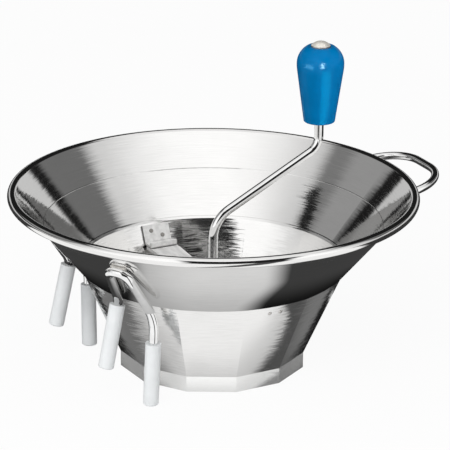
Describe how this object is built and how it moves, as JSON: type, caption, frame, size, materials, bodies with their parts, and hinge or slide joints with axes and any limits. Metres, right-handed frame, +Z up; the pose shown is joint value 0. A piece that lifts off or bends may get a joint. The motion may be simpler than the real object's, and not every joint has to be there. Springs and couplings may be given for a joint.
{
  "type": "food mill",
  "caption": "Hand-cranked food mill: flared sheet-metal bowl, faceted foot with a perforated disc, helical blade on a cranked rod, loop handle and pot hooks.",
  "frame": {"origin": "on the bowl's axis in the plane that the foot stands on", "axes": "+X towards the loop handle and, at rest, the crank's knob; +Z up; the bridge bar lies close to the Y axis"},
  "size_m": [0.3394, 0.31, 0.2414],
  "materials": {
    "tinned_steel": "bright tinned sheet, brushed round the axis",
    "bright_wire": "bright plated",
    "white_sleeve": "smooth soft plastic",
    "blue_plastic": "glossy",
    "bush_brass": "turned",
    "spring_steel": "plain"
  },
  "bodies": {
    "bowl": {"bowl_cone": "tinned_steel", "rim_wire": "bright_wire", "lower_funnel": "tinned_steel", "perforated_disc": "tinned_steel", "bracket_back": "tinned_steel", "bracket_front": "tinned_steel", "bracket_welds": "tinned_steel", "loop_handle": "bright_wire", "handle_welds": "bright_wire", "hook_front": "bright_wire", "hook_back": "bright_wire", "hook_welds": "bright_wire", "sleeve_front_short": "white_sleeve", "sleeve_front_long": "white_sleeve", "sleeve_back_short": "white_sleeve", "sleeve_back_long": "white_sleeve"},
    "bridge": {"bridge_bar": "tinned_steel", "bridge_bush": "bush_brass", "pressure_spring": "spring_steel"},
    "rotor_seat": {"thrust_washer": "spring_steel"},
    "crank": {"crank_rod": "bright_wire", "rotor_hub": "tinned_steel", "helix_blade": "tinned_steel", "hub_pin": "spring_steel", "rod_collar": "tinned_steel", "knob_stop": "spring_steel", "knob_cap": "bright_wire"},
    "knob": {"knob_grip": "blue_plastic"}
  },
  "joints": [
    {"name": "bridge_unlock", "type": "hinge", "parent": "bowl", "child": "bridge", "pos_m": [0, 0, 0.0567], "axis": [0, 0, 1], "range_deg": [0, 60]},
    {"name": "rotor_lift", "type": "slide", "parent": "bridge", "child": "rotor_seat", "axis": [0, 0, 1], "range_m": [0, 0.004], "stiffness_N_per_m": 2500, "springref_m": -0.006, "deforming": ["pressure_spring"]},
    {"name": "crank_turn", "type": "hinge", "parent": "rotor_seat", "child": "crank", "pos_m": [0, 0, 0.0567], "axis": [0, 0, 1], "continuous": true},
    {"name": "knob_spin", "type": "hinge", "parent": "crank", "child": "knob", "pos_m": [0.0884, 0, 0.2078], "axis": [0, 0, 1], "continuous": true}
  ]
}
